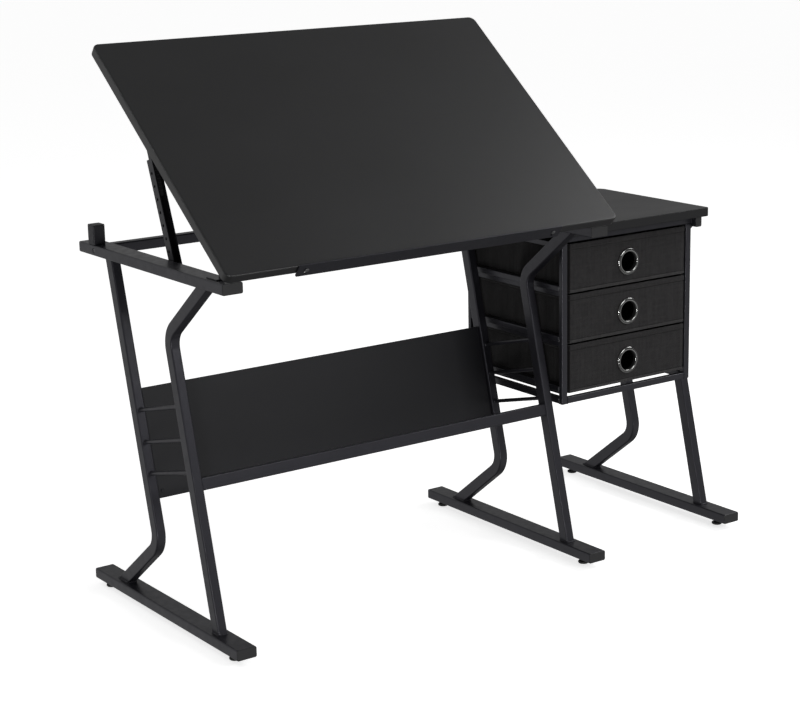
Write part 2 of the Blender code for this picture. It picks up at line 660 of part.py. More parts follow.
def rack_bars():
    top = BEAM_Z0 + BEAM_H
    x0 = X_MID + LEG_X / 2 + GAP
    x1 = X_RIGHT - SIDE_TUBE_IN - GAP
    for end, y in (("front", RACK_Y0), ("rear", RACK_Y1 - RACK_BEAM_Y)):
        box("rack_beam_" + end, (x0, y, BEAM_Z0), (x1, y + RACK_BEAM_Y, top), "powder_black", 0, 0.002)
    x0 = RACK_X0 + RACK_POST_X + GAP
    x1 = RACK_X1 - RACK_POST_X - GAP
    for end, y in (("front", RACK_Y0), ("rear", RACK_Y1 - RACK_POST_Y)):
        box("rack_bar_" + end, (x0, y, RACK_Z0), (x1, y + RACK_POST_Y, RACK_Z0 + RACK_BAR),
            "powder_black", 0, 0.002)


def grommet_profile():
    """Half-round rim in front of the fabric and a short barrel through it."""
    barrel = GROMMET_HOLE + 0.0007
    half = (GROMMET_OUT - GROMMET_HOLE) / 2
    middle = GROMMET_HOLE + half
    points = [(GROMMET_HOLE, -DRAWER_WALL)]
    steps = 6
    for step in range(steps + 1):
        angle = pi - pi * step / steps
        points.append((middle + half * cos(angle), GAP + GROMMET_DEPTH * sin(angle)))
    points += [(barrel, GAP), (barrel, -DRAWER_WALL)]
    return points


def drawers():
    x0 = RACK_X0 + RACK_POST_X + DRAWER_SIDE_GAP
    x1 = RACK_X1 - RACK_POST_X - DRAWER_SIDE_GAP
    middle = (x0 + x1) / 2
    wall = DRAWER_WALL
    for number, z in enumerate(DRAWER_Z, 1):
        name = "drawer_" + str(number)
        centre_z = DRAWER_H / 2 - 0.004
        bin_ = box(name, (x0, 0, 0), (x1, DRAWER_D, DRAWER_H), "fabric_black", 2, 0.0025,
                   location=(0, RACK_Y0, z))
        inside = bmesh.new()
        box_into(inside, (x0 + wall, wall, wall), (x1 - wall, DRAWER_D - wall, DRAWER_H + 0.01))
        cut(bin_, guide(name + "_inside", inside, location=(0, RACK_Y0, z)))
        bore = bmesh.new()
        cylinder_into(bore, GROMMET_HOLE + 0.001, (middle, -0.01, centre_z), (middle, 0.01, centre_z), 28)
        cut(bin_, guide(name + "_bore", bore, location=(0, RACK_Y0, z)))
        ring = bmesh.new()
        turned(ring, grommet_profile(), 28, axis="Y")
        add_object("grommet_" + str(number), ring, "chrome", (middle, RACK_Y0, z + centre_z))


# ---- the table -----------------------------------------------------------------------------------
def build():
    for obj in list(bpy.data.objects):
        bpy.data.objects.remove(obj)
    foot_rails()
    glides()
    top_rails()
    legs()
    rungs()
    cross_members()
    rear_posts()
    side_board()
    pivot = add_empty("tilt_pivot", (0, HINGE_Y, HINGE_Z), TILT)
    tilting_board(pivot)
    hinges(pivot)
    lift_arms(pivot)
    for key, x0, inner in (("left", RACK_X0, 1), ("right", RACK_X1 - RACK_POST_X, -1)):
        rack_side(key, x0, inner)
    rack_bars()
    drawers()


build()
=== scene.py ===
"""Looks of the drafting table: finishes, fabric drawers, edge bands, caps, welds and fasteners."""
import json
import random
from math import atan2, cos, exp, pi, radians, sin, tan

import bmesh
import bpy
from mathutils import Matrix, Vector


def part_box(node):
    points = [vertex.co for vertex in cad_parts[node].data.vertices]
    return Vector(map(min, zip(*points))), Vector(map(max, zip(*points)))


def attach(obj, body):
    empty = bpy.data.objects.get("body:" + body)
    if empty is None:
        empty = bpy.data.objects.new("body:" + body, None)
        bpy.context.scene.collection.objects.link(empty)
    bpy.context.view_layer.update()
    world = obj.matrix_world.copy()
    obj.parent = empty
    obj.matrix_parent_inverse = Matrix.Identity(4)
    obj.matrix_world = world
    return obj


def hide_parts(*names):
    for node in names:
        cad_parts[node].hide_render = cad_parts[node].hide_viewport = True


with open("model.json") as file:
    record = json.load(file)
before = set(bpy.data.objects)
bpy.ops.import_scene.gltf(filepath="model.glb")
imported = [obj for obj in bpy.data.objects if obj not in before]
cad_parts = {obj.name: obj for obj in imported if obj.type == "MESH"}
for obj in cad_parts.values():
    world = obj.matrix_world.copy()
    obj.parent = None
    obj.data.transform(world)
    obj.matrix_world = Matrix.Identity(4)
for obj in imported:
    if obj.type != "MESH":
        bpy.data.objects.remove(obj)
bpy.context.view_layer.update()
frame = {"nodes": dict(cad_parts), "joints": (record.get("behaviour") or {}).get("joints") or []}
rng = random.Random(7)

MM = 0.001
GAP = 0.0003                # between touching solids of the frame
joint = {j["name"]: j for j in frame["joints"]}

# ---- places taken from the frame -----------------------------------------------------------------
HINGE = Vector(joint["board_tilt"]["pos_m"])
LEDGE_DIR = Vector(joint["ledge_lift"]["axis"])
TILT = atan2(-LEDGE_DIR.y, LEDGE_DIR.z)
BOARD = Matrix.Translation(HINGE) @ Matrix.Rotation(TILT, 4, "X")
ARM_FOOT = Vector(joint["left_arm_swing"]["pos_m"])
SIDES = ("left", "middle", "right")


def mid(node):
    lo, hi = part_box(node)
    return (lo + hi) / 2


FRAME_X = {key: mid("foot_rail_" + key).x for key in SIDES}
Y_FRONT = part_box("top_rail_left")[0].y
RAIL_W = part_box("foot_rail_left")[1].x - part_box("foot_rail_left")[0].x
TOP_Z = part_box("top_rail_left")[1].z
TOP_RAIL_Z0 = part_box("top_rail_left")[0].z
FOOT_TOP_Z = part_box("foot_rail_left")[1].z
# how far back each end frame stands from the left one
BACK = {key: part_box("foot_rail_" + key)[0].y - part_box("foot_rail_left")[0].y for key in SIDES}


def local_box(node, matrix):
    """Lowest and highest corner of a node in a turned frame."""
    back = matrix.inverted()
    points = [back @ v.co for v in frame["nodes"][node].data.vertices]
    return (Vector([min(p[k] for p in points) for k in range(3)]),
            Vector([max(p[k] for p in points) for k in range(3)]))


# ---- materials -----------------------------------------------------------------------------------
class Finish:
    """A node material: one Principled shader with procedural colour, roughness and bump."""

    def __init__(self, name, metallic=0.0, roughness=0.5, specular=0.5, coat=0.0, coat_rough=0.1, sheen=0.0):
        self.mat = bpy.data.materials.new(name)
        self.mat.use_nodes = True
        self.tree = self.mat.node_tree
        self.tree.nodes.clear()
        self.out = self.new("ShaderNodeOutputMaterial")
        self.shader = self.new("ShaderNodeBsdfPrincipled")
        self.link(self.shader.outputs[0], self.out.inputs[0])
        self.put("Metallic", metallic)
        self.put("Roughness", roughness)
        self.put("Specular IOR Level", specular)
        self.put("Coat Weight", coat)
        self.put("Coat Roughness", coat_rough)
        self.put("Sheen Weight", sheen)
        self.coords = self.new("ShaderNodeTexCoord")
        self.bumps = None

    def new(self, kind):
        return self.tree.nodes.new(kind)

    def link(self, a, b):
        self.tree.links.new(a, b)

    def put(self, socket, value):
        self.shader.inputs[socket].default_value = value

    def where(self, stretch=(1, 1, 1), uv=False):
        mapping = self.new("ShaderNodeMapping")
        mapping.inputs["Scale"].default_value = stretch
        self.link(self.coords.outputs["UV" if uv else "Object"], mapping.inputs["Vector"])
        return mapping.outputs[0]

    def noise(self, scale, detail, rough=0.5, place=None):
        node = self.new("ShaderNodeTexNoise")
        node.inputs["Scale"].default_value = scale
        node.inputs["Detail"].default_value = detail
        node.inputs["Roughness"].default_value = rough
        self.link(place or self.where(), node.inputs["Vector"])
        return node.outputs["Fac"]

    def cells(self, scale):
        node = self.new("ShaderNodeTexVoronoi")
        node.inputs["Scale"].default_value = scale
        self.link(self.where(), node.inputs["Vector"])
        return node.outputs["Distance"]

    def threads(self, pitch, place, along):
        """Parallel threads; Blender's wave texture has a period of 2 pi / (20 scale)."""
        node = self.new("ShaderNodeTexWave")
        node.bands_direction = along
        node.inputs["Scale"].default_value = 2 * pi / (20 * pitch)
        node.inputs["Distortion"].default_value = 0.35
        node.inputs["Detail Scale"].default_value = 0.4
        self.link(place, node.inputs["Vector"])
        return node.outputs["Fac"]

    def math(self, kind, a, b):
        node = self.new("ShaderNodeMath")
        node.operation = kind
        for socket, value in zip(node.inputs, (a, b)):
            if isinstance(value, (int, float)):
                socket.default_value = value
            else:
                self.link(value, socket)
        return node.outputs[0]

    def ramp(self, fac, stops):
        node = self.new("ShaderNodeValToRGB")
        while len(node.color_ramp.elements) < len(stops):
            node.color_ramp.elements.new(0.5)
        for element, (place, color) in zip(node.color_ramp.elements, stops):
            element.position = place
            element.color = (*color, 1) if hasattr(color, "__len__") else (color, color, color, 1)
        self.link(fac, node.inputs[0])
        return node.outputs[0]

    def times(self, a, b):
        """One colour multiplied by another."""
        node = self.new("ShaderNodeMix")
        node.data_type = "RGBA"
        node.blend_type = "MULTIPLY"
        node.inputs[0].default_value = 1.0
        for value, socket in zip((a, b), [s for s in node.inputs if s.type == "RGBA"]):
            self.link(value, socket)
        return next(s for s in node.outputs if s.type == "RGBA")

    def color(self, socket):
        self.link(socket, self.shader.inputs["Base Color"])

    def rough(self, socket):
        self.link(socket, self.shader.inputs["Roughness"])

    def bump(self, height, distance, strength):
        """Adds a layer of bump over the layers that are already there."""
        node = self.new("ShaderNodeBump")
        node.inputs["Distance"].default_value = distance
        node.inputs["Strength"].default_value = strength
        self.link(height, node.inputs["Height"])
        if self.bumps is not None:
            self.link(self.bumps, node.inputs["Normal"])
        self.bumps = node.outputs[0]
        self.link(self.bumps, self.shader.inputs["Normal"])


def shade(color, factor):
    return tuple(c * factor for c in color)


def powder_coat(name, base, roughness):
    """Satin powder coat: orange peel, a fine speckle and slow drifts of tone."""
    f = Finish(name, roughness=roughness, specular=0.40, coat=0.22, coat_rough=0.2)
    f.put("Specular Tint", (0.88, 0.87, 1.0, 1))
    drift = f.ramp(f.noise(9, 3), [(0.3, shade(base, 0.88)), (0.7, shade(base, 1.12))])
    speck = f.ramp(f.noise(1500, 1), [(0.35, 0.8), (0.65, 1.15)])
    f.color(f.times(drift, speck))
    f.rough(f.ramp(f.noise(60, 3), [(0.3, roughness - 0.05), (0.7, roughness + 0.06)]))
    f.bump(f.noise(420, 2), 0.00006, 0.6)
    f.bump(f.noise(1600, 1), 0.00002, 0.6)
    return f.mat


def laminate(name, base, roughness, specular=0.5):
    """Matte melamine film with a fine pebble emboss, faint clouds and rubbed spots."""
    f = Finish(name, roughness=roughness, specular=specular)
    cloud = f.ramp(f.noise(5, 4, 0.6), [(0.3, shade(base, 0.94)), (0.7, shade(base, 1.06))])
    fleck = f.ramp(f.cells(900), [(0.0, 1.1), (0.7, 0.88)])
    f.color(f.times(cloud, fleck))
    rub = f.noise(3.5, 5, 0.65, place=f.where((1, 2.6, 1)))
    f.rough(f.ramp(rub, [(0.3, roughness - 0.035), (0.7, roughness + 0.035)]))
    f.bump(f.cells(1100), 0.00003, 0.5)
    f.bump(f.noise(2400, 1), 0.00001, 0.5)
    return f.mat


def plastic(name, base, roughness):
    """Moulded plastic with spark-eroded grain."""
    f = Finish(name, roughness=roughness, specular=0.45)
    f.color(f.ramp(f.noise(40, 3), [(0.3, shade(base, 0.9)), (0.7, shade(base, 1.1))]))
    f.rough(f.ramp(f.noise(200, 2), [(0.3, roughness - 0.06), (0.7, roughness + 0.06)]))
    f.bump(f.noise(1300, 3, 0.7), 0.00004, 0.7)
    return f.mat


def plated(name, base, roughness, scratch, metallic=1.0):
    """Plated or oxidised steel with drawn scratches and a cloudy film."""
    f = Finish(name, metallic=metallic, roughness=roughness)
    f.color(f.ramp(f.noise(150, 3), [(0.3, shade(base, 0.9)), (0.7, shade(base, 1.08))]))
    lines = f.noise(500, 2, place=f.where((1, 0.04, 0.04)))
    f.rough(f.ramp(lines, [(0.3, roughness * 0.8), (0.7, roughness * 1.25)]))
    f.bump(lines, 0.00002, scratch)
    return f.mat


def woven(name, base, warm, pitch=0.9 * MM, depth=0.00022):
    """Plain weave with slubs: warp and weft threads, a melange of tones and a light nap."""
    f = Finish(name, roughness=0.93, specular=0.18, sheen=0.12)
    f.put("Sheen Roughness", 0.5)
    flat = f.where(uv=True)
    warp = f.threads(pitch, flat, "X")
    weft = f.threads(pitch * 1.08, flat, "Y")
    slub_x = f.noise(190, 3, 0.6, place=f.where((1, 0.06, 1), uv=True))
    slub_y = f.noise(190, 3, 0.6, place=f.where((0.06, 1, 1), uv=True))
    over = f.math("MAXIMUM", f.math("MULTIPLY", warp, slub_x), f.math("MULTIPLY", weft, slub_y))
    weave = f.math("MULTIPLY", over, 1.6)
    tones = [(0.32, shade(base, 0.86)), (0.52, base), (0.7, shade(warm, 1.12))]
    melange = f.ramp(f.noise(95, 5, 0.65), tones)
    streak = f.ramp(f.math("ADD", slub_x, slub_y), [(0.75, 0.95), (1.25, 1.05)])
    # the weave's height also sets the tone: painted shade in the hollows between threads, painted highlight
    # on their crowns
    f.color(f.times(f.times(melange, streak), f.ramp(weave, [(0.1, 0.62), (0.8, 1.2)])))
    f.bump(weave, depth, 0.8)
    f.bump(f.noise(26, 3), 0.0009, 0.35)
    return f.mat


COAT = powder_coat("powder_coat", (0.0112, 0.0110, 0.0138), 0.40)
COAT_WELD = powder_coat("powder_coat_weld", (0.0118, 0.0116, 0.0144), 0.5)
BOARD_TOP = laminate("charcoal_laminate", (0.0130, 0.0130, 0.0138), 0.42)
BOARD_EDGE = laminate("edge_band", (0.0120, 0.0120, 0.0128), 0.33, 0.55)
BOARD_UNDER = laminate("backing_film", (0.0170, 0.0168, 0.0172), 0.58)
SIDE_TOP = laminate("side_laminate", (0.0165, 0.0165, 0.0174), 0.44)
# painted shade: the side board's edge band is about half the tone of its top, for its front edge in shade
SIDE_EDGE_SHADED = laminate("side_edge_band_painted_shade", (0.0085, 0.0085, 0.0095), 0.5, 0.34)
PANEL = laminate("panel_laminate", (0.0088, 0.0088, 0.0112), 0.5, 0.36)
CAP = plastic("cap_plastic", (0.020, 0.020, 0.021), 0.5)
GLIDE = plastic("glide_plastic", (0.010, 0.010, 0.0105), 0.55)
POST = plastic("rest_block", (0.0135, 0.0130, 0.0175), 0.5)
ARM_COAT = powder_coat("arm_coat", (0.0070, 0.0071, 0.0080), 0.42)
# painted shade: the rack's beams under the side board take a darker copy of the frame's coat
BEAM_COAT_SHADED = powder_coat("beam_coat_painted_shade", (0.0060, 0.0060, 0.0080), 0.5)
OXIDE = plated("black_oxide", (0.030, 0.030, 0.033), 0.42, 0.5, 0.55)
BLACK_BOLT = plated("bolt_black", (0.17, 0.17, 0.175), 0.32, 0.3, 0.85)
ZINC = plated("zinc_plate", (0.42, 0.43, 0.44), 0.34, 0.4)
CHROME = plated("chrome", (0.27, 0.27, 0.265), 0.11, 0.12)
FABRIC = woven("drawer_fabric", (0.0220, 0.0209, 0.0216), (0.0235, 0.0220, 0.0223))
# painted highlight: the bound foot is cloth at nearly twice the front's tone, for the light its rounded fold
# catches
FABRIC_BAND_LIT = woven("drawer_binding", (0.038, 0.0368, 0.0376), (0.0405, 0.0388, 0.0390), 0.7 * MM)
# painted shade: the drawers' sides and backs take the front's cloth at about a sixth of its tone
FABRIC_SIDE_SHADED = woven("drawer_side_fabric", (0.0034, 0.0028, 0.0031), (0.0039, 0.0031, 0.0033))
LINING = woven("drawer_lining", (0.0060, 0.0056, 0.0054), (0.0068, 0.0062, 0.0060), 0.6 * MM, 0.0001)
THREAD = woven("thread", (0.016, 0.0155, 0.015), (0.018, 0.017, 0.016), 0.4 * MM, 0.00008)
# painted shade: the dark lines under the hem and over the bound foot, and the eyelet's barrel, groove and
# back
SEAM_SHADE = plastic("seam_shadow", (0.006, 0.0058, 0.0058), 0.8)


# ---- mesh tools ----------------------------------------------------------------------------------
def rect_loop(w, h, r, steps, runs=(1, 1)):
    """A rounded rectangle about the origin, counter-clockwise; runs splits its straight sides."""
    points = []
    corners = ((w / 2 - r, h / 2 - r, 0), (r - w / 2, h / 2 - r, 1),
               (r - w / 2, r - h / 2, 2), (w / 2 - r, r - h / 2, 3))
    for number, (cx, cy, quarter) in enumerate(corners):
        arc = [(cx + r * cos((quarter + k / steps) * pi / 2), cy + r * sin((quarter + k / steps) * pi / 2))
               for k in range(steps + 1)]
        points += arc
        nxt = corners[(number + 1) % 4]
        start = Vector(arc[-1])
        angle = (quarter + 1) * pi / 2
        end = Vector((nxt[0] + r * cos(angle), nxt[1] + r * sin(angle)))
        count = runs[0] if quarter % 2 == 0 else runs[1]
        points += [tuple(start.lerp(end, k / count)) for k in range(1, count)]
    return points


def ring_loop(radius, count):
    return [(radius * cos(2 * pi * k / count), radius * sin(2 * pi * k / count)) for k in range(count)]


THINNEST = 0.00004          # a lathed point on the axis keeps this radius
SHARP = 32                  # degrees between two faces that shade as an edge


class Shape:
    """Collects skins into one mesh; each face keeps the number of its finish."""

    def __init__(self):
        self.bm = bmesh.new()

    def face(self, verts, mat):
        try:
            self.bm.faces.new(verts).material_index = mat
        except ValueError:
            pass

    def skin(self, rings, mat=0, caps=True, loop=False, mats=None):
        """Joins rings of points, which all have the same count, and closes the two ends."""
        made = [[self.bm.verts.new(p) for p in ring] for ring in rings]
        pairs = list(zip(made, made[1:])) + ([(made[-1], made[0])] if loop else [])
        for number, (a, b) in enumerate(pairs):
            tone = mats[number] if mats else mat
            for k in range(len(a)):
                n = (k + 1) % len(a)
                self.face((a[k], a[n], b[n], b[k]), tone)
        if caps and not loop:
            self.face(made[0][::-1], mats[0] if mats else mat)
            self.face(made[-1], mats[-1] if mats else mat)

    def bar(self, matrix, w, h, length, r, soft=0.0006, mat=0, steps=5):
        """A straight bar along local Z, its ends slightly rounded."""
        rings = []
        for z, inset in ((0, soft), (soft * 0.3, soft * 0.3), (soft, 0),
                         (length - soft, 0), (length - soft * 0.3, soft * 0.3), (length, soft)):
            loop = rect_loop(w - 2 * inset, h - 2 * inset, max(r - inset, 0.0002), steps)
            rings.append([matrix @ Vector((x, y, z)) for x, y in loop])
        self.skin(rings, mat)

    def lathe(self, profile, matrix, count, mat=0, mats=None, closed=False):
        """(radius, height) points turned about local Z."""
        rings = [[matrix @ Vector((x, y, z)) for x, y in ring_loop(max(r, THINNEST), count)]
                 for r, z in profile]
        self.skin(rings, mat, caps=not closed, loop=closed, mats=mats)

    def tube(self, path, radius, count, mat=0, closed=False, radii=None):
        """A round tube along points, with a frame carried along so that it doesn't twist."""
        path = [Vector(p) for p in path]
        side = None
        rings = []
        total = len(path)
        for k, p in enumerate(path):
            before = path[(k - 1) % total] if closed or k else p
            after = path[(k + 1) % total] if closed or k < total - 1 else p
            run = (after - before).normalized()
            if side is None:
                side = run.orthogonal().normalized()
            side = (side - run * side.dot(run)).normalized()
            up = run.cross(side)
            r = radii[k] if radii else radius
            rings.append([p + side * x + up * y for x, y in ring_loop(r, count)])
        self.skin(rings, mat, caps=not closed, loop=closed)

    def done(self, name, body, mats, replaces=(), sharp=SHARP, weight=True):
        """Makes the piece: the mesh laid out in metres, its finishes, its body and what it replaces."""
        bm = self.bm
        bmesh.ops.recalc_face_normals(bm, faces=bm.faces)
        layer = bm.loops.layers.uv.new("metres")
        for face in bm.faces:
            n = [abs(c) for c in face.normal]
            a, b = ((1, 2), (0, 2), (0, 1))[n.index(max(n))]
            for corner in face.loops:
                corner[layer].uv = (corner.vert.co[a], corner.vert.co[b])
        mesh = bpy.data.meshes.new(name)
        bm.to_mesh(mesh)
        bm.free()
        for mat in mats:
            mesh.materials.append(mat)
        mesh.shade_smooth()
        mesh.set_sharp_from_angle(angle=radians(sharp))
        obj = bpy.data.objects.new(name, mesh)
        bpy.context.scene.collection.objects.link(obj)
        if weight:
            mod = obj.modifiers.new("even_normals", "WEIGHTED_NORMAL")
            mod.keep_sharp = True
        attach(obj, body)
        if replaces:
            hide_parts(*replaces)
        return obj


def facing(point, axis):
    """A frame at a point, with local Z along an axis."""
    turn = Vector((0, 0, 1)).rotation_difference(Vector(axis).normalized()).to_matrix().to_4x4()
    return Matrix.Translation(point) @ turn


# ---- fasteners and welds -------------------------------------------------------------------------
DOME = ((0.98, 0), (1.0, 0.12), (1.0, 0.3), (0.93, 0.62), (0.78, 0.86), (0.6, 1))   # shares of r, h


def socket_bolt(shape, point, axis, r, h, drive=6):
    """A button head with a hexagon socket (drive 6) or a cross-like recess (drive 4)."""
    m = facing(point, axis)
    count = 24
    rings = []
    for share, rise in DOME:
        rings.append([m @ Vector((x, y, rise * h)) for x, y in ring_loop(r * share, count)])
    for share, z in ((0.5, h), (0.46, 0.35 * h)):
        ring = []
        for k in range(count):
            angle = 2 * pi * k / count
            if drive == 6:
                side = (angle + pi / 6) % (pi / 3) - pi / 6
                reach = r * share / cos(side) * 0.9
            else:
                side = (angle + pi / 4) % (pi / 2) - pi / 4
                reach = r * share * (1.05 if abs(side) < 0.3 else 0.42)
            ring.append(m @ Vector((reach * cos(angle), reach * sin(angle), z)))
        rings.append(ring)
    shape.skin(rings)


RIPPLE = 0.0026             # length of one ripple of a weld


def weld(shape, loop, r):
    """A bead along a closed loop of points, in the shape's second finish."""
    points = [Vector(p) for p in loop]
    dense = []
    for a, b in zip(points, points[1:] + points[:1]):
        count = max(1, int((b - a).length / 0.0012))
        dense += [a.lerp(b, k / count) for k in range(count)]
    radii, run = [], 0.0
    for k, p in enumerate(dense):
        run += (p - dense[k - 1]).length if k else 0
        radii.append(r * (1 + 0.10 * sin(run * 2 * pi / RIPPLE) + rng.uniform(-0.07, 0.07)))
    shape.tube(dense, r, 8, 1, closed=True, radii=radii)


def carve(piece, tool):
    """Cuts a closed tool out of a piece and keeps the result as its mesh."""
    weighted = len(piece.modifiers) > 0
    piece.modifiers.clear()
    mod = piece.modifiers.new("cut", "BOOLEAN")
    mod.object, mod.operation, mod.solver = tool, "DIFFERENCE", "EXACT"
    bpy.context.view_layer.update()
    mesh = bpy.data.meshes.new_from_object(piece.evaluated_get(bpy.context.evaluated_depsgraph_get()))
    piece.modifiers.clear()
    piece.data = mesh
    if weighted:
        mesh.set_sharp_from_angle(angle=radians(SHARP))
        mod = piece.modifiers.new("even_normals", "WEIGHTED_NORMAL")
        mod.keep_sharp = True
    bpy.data.objects.remove(tool)


# ---- rails and feet ------------------------------------------------------------------------------
ROUND = 0.0032              # outer corner radius of the tubes
WALL = 0.0014               # tube wall seen around a plug
CAP_IN = 0.0016             # how far the tube's end stands behind its plug's face
CAP_DEEP = 0.006            # how deep the plug's collar goes


def capped_rail(node, axis, x=None):
    """Rectangular tube along Y (axis 1) or X (axis 0) with a plastic plug in each open end."""
    lo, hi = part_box(node)
    if x is not None:
        lo.x, hi.x = x - RAIL_W / 2, x + RAIL_W / 2
    centre = (lo + hi) / 2
    size = hi - lo
    shape = Shape()
    if axis == 1:
        m = Matrix.Translation((centre.x, lo.y, centre.z)) @ Matrix.Rotation(-pi / 2, 4, "X")
        w, h, length = size.x, size.z, size.y
    else:
        m = Matrix.Translation((lo.x, centre.y, centre.z)) @ Matrix.Rotation(pi / 2, 4, "Y")
        w, h, length = size.z, size.y, size.x
    rings = []
    for z, inset in ((CAP_IN + CAP_DEEP, WALL), (CAP_IN, WALL), (CAP_IN, 0.0002), (CAP_IN + 0.0003, 0),
                     (length - CAP_IN - 0.0003, 0), (length - CAP_IN, 0.0002), (length - CAP_IN, WALL),
                     (length - CAP_IN - CAP_DEEP, WALL)):
        loop = rect_loop(w - 2 * inset, h - 2 * inset, ROUND - min(inset, ROUND * 0.6), 6)
        rings.append([m @ Vector((p, q, z)) for p, q in loop])
    shape.skin(rings, 0)
    for near, out in ((CAP_IN - 0.00012, 0.0), (length - CAP_IN + 0.00012, length)):
        step = out - near
        rings = []
        for share, inset in ((0, 0.0003), (0.45, 0.0002), (0.8, 0.0006), (1.0, 0.0016)):
            loop = rect_loop(w - 2 * inset, h - 2 * inset, ROUND - inset * 0.5, 6)
            rings.append([m @ Vector((p, q, near + step * share)) for p, q in loop])
        shape.skin(rings, 1)
    return shape.done(node + "_tube", "frame", (COAT, CAP), (node,))


BOLT_Y = Y_FRONT + 0.493    # a bolt sunk into the outer side of each long top rail
BOLT_SINK = 0.0015
BOLT_R = 0.0040
BOLT_PLAY = 0.0008
bolts = Shape()
for key in SIDES:
    capped_rail("foot_rail_" + key, 1)
for key, side in (("left", -1), ("middle", 1)):
    rail = capped_rail("top_rail_" + key, 1, FRAME_X[key])
    face = FRAME_X[key] + side * RAIL_W / 2
    recess = Shape()
    sink = facing((face - side * BOLT_SINK, BOLT_Y, (TOP_Z + TOP_RAIL_Z0) / 2), (side, 0, 0))
    recess.lathe([(BOLT_R + BOLT_PLAY, 0), (BOLT_R + BOLT_PLAY, BOLT_SINK - 0.0003),
                  (BOLT_R + 0.0020, 0.006)], sink, 40)
    carve(rail, recess.done("bolt_recess", "frame", (COAT,), weight=False))
    socket_bolt(bolts, sink @ Vector((0, 0, 0.0001)), (side, 0, 0), BOLT_R, BOLT_SINK - 0.0004)
bolts.done("rail_bolts", "frame", (BLACK_BOLT,))
capped_rail("top_rail_right", 1)
capped_rail("rear_cross_rail", 0)


# ---- bent legs -----------------------------------------------------------------------------------
LEG_X, LEG_D, LEG_BEND = 0.020, 0.025, 0.045    # tube's width, its depth and the bend's radius
# centre lines as (y, z) of the foot, the knee and the head
FRONT_LINE = ((Y_FRONT + 0.0998, FOOT_TOP_Z), (Y_FRONT + 0.2365, 0.582), (Y_FRONT + 0.0894, 0.699))
RIGHT_FRONT_LINE = FRONT_LINE[:2] + ((Y_FRONT + 0.111, 0.699),)
REAR_LINE = ((Y_FRONT + 0.468, FOOT_TOP_Z), (Y_FRONT + 0.3185, 0.1495), (Y_FRONT + 0.4567, 0.699))


def leg_path(line, z0, z1):
    """Centre line of a leg with a smooth bend, and the bend's share at each point."""
    low, knee, top = (Vector(p) for p in line)
    first, second = (knee - low).normalized(), (top - knee).normalized()
    turn = atan2(first.x * second.y - first.y * second.x, first.dot(second))
    side = 1 if turn > 0 else -1
    reach = LEG_BEND * tan(abs(turn) / 2)
    start = knee - first * reach
    centre = start + Vector((-first.y, first.x)) * side * LEG_BEND
    steps = 22
    arc = [centre + Matrix.Rotation(turn * k / steps, 2) @ (start - centre) for k in range(steps + 1)]
    foot = low + first * (z0 - low.y) / first.y
    head = knee + second * (z1 - knee.y) / second.y
    bend = [0.0] + [sin(pi * k / steps) for k in range(steps + 1)] + [0.0]
    return [foot] + arc + [head], bend


def leg(node, key, line, z1):
    """A bent tube, a little wider and flatter at its bend, cut level and welded at both ends."""
    x = FRAME_X[key]
    path, bend = leg_path(line, FOOT_TOP_Z + GAP, z1 - GAP)
    rings = []
    for k, p in enumerate(path):
        a = path[max(k - 1, 0)]
        b = path[min(k + 1, len(path) - 1)]
        if k == 0:
            run, out = (b - p).normalized(), Vector((1, 0))
        elif k == len(path) - 1:
            run, out = (p - a).normalized(), Vector((1, 0))
        else:
            run = ((p - a).normalized() + (b - p).normalized()).normalized()
            out = Vector((run.y, -run.x))
        level = out.y == 0 and out.x == 1
        deep = LEG_D / abs(run.y) if level else LEG_D
        swell = 1 + 0.018 * bend[k]
        thin = 1 - 0.015 * bend[k]
        ring = []
        for u, v in rect_loop(LEG_X * swell, deep * thin, ROUND, 5):
            q = p + out * v
            ring.append(Vector((x + u, q.x + BACK[key], q.y)))
        rings.append(ring)
    shape = Shape()
    shape.skin(rings, 0)
    for p, z, lift in ((path[0], FOOT_TOP_Z, 0.0006), (path[-1], z1, -0.0006)):
        slant = path[1] - path[0] if lift > 0 else path[-1] - path[-2]
        deep = LEG_D * slant.length / abs(slant.y)
        loop = [(x + u, p.x + v + BACK[key], z + lift) for u, v in rect_loop(LEG_X, deep, ROUND, 4)]
        weld(shape, loop, 0.0015)
    shape.done(node + "_tube", "frame", (COAT, COAT_WELD), (node,))


for key in SIDES:
    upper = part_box("top_rail_" + key)[0].z
    leg("front_leg_" + key, key, RIGHT_FRONT_LINE if key == "right" else FRONT_LINE, upper)
    leg("rear_leg_" + key, key, REAR_LINE, upper)


# ---- rungs ---------------------------------------------------------------------------------------
RUNG_R = 0.004
RUNG_SINK = 0.0008          # a rod reaches this far past its node's ends


def rung(node):
    """A round rod between the ends of its node, welded to both legs."""
    points = [v.co for v in frame["nodes"][node].data.vertices]
    ends = []
    for pick in (min, max):
        edge = pick(p.y for p in points)
        near = [p for p in points if abs(p.y - edge) < RUNG_R]
        ends.append(sum(near, Vector()) / len(near))
    run = (ends[1] - ends[0]).normalized()
    shape = Shape()
    first, last = ends[0] - run * RUNG_SINK, ends[1] + run * RUNG_SINK
    shape.tube([first.lerp(last, k / 6) for k in range(7)], RUNG_R, 24)
    for end, out in ((ends[0], -run), (ends[1], run)):
        m = facing(end, out)
        weld(shape, [m @ Vector((x, y, 0)) for x, y in ring_loop(RUNG_R + 0.0002, 20)], 0.0011)
    shape.done(node + "_rod", "frame", (COAT, COAT_WELD), (node,))


for key in SIDES:
    for number in (1, 2, 3):
        rung("rung_%s_%d" % (key, number))


# ---- lower bar -----------------------------------------------------------------------------------
BAR_Z = 0.3068                      # middle of the lower bar on the front legs
PANEL_Z = (0.235 + 0.446) / 2       # middle of the back panel on the rear legs


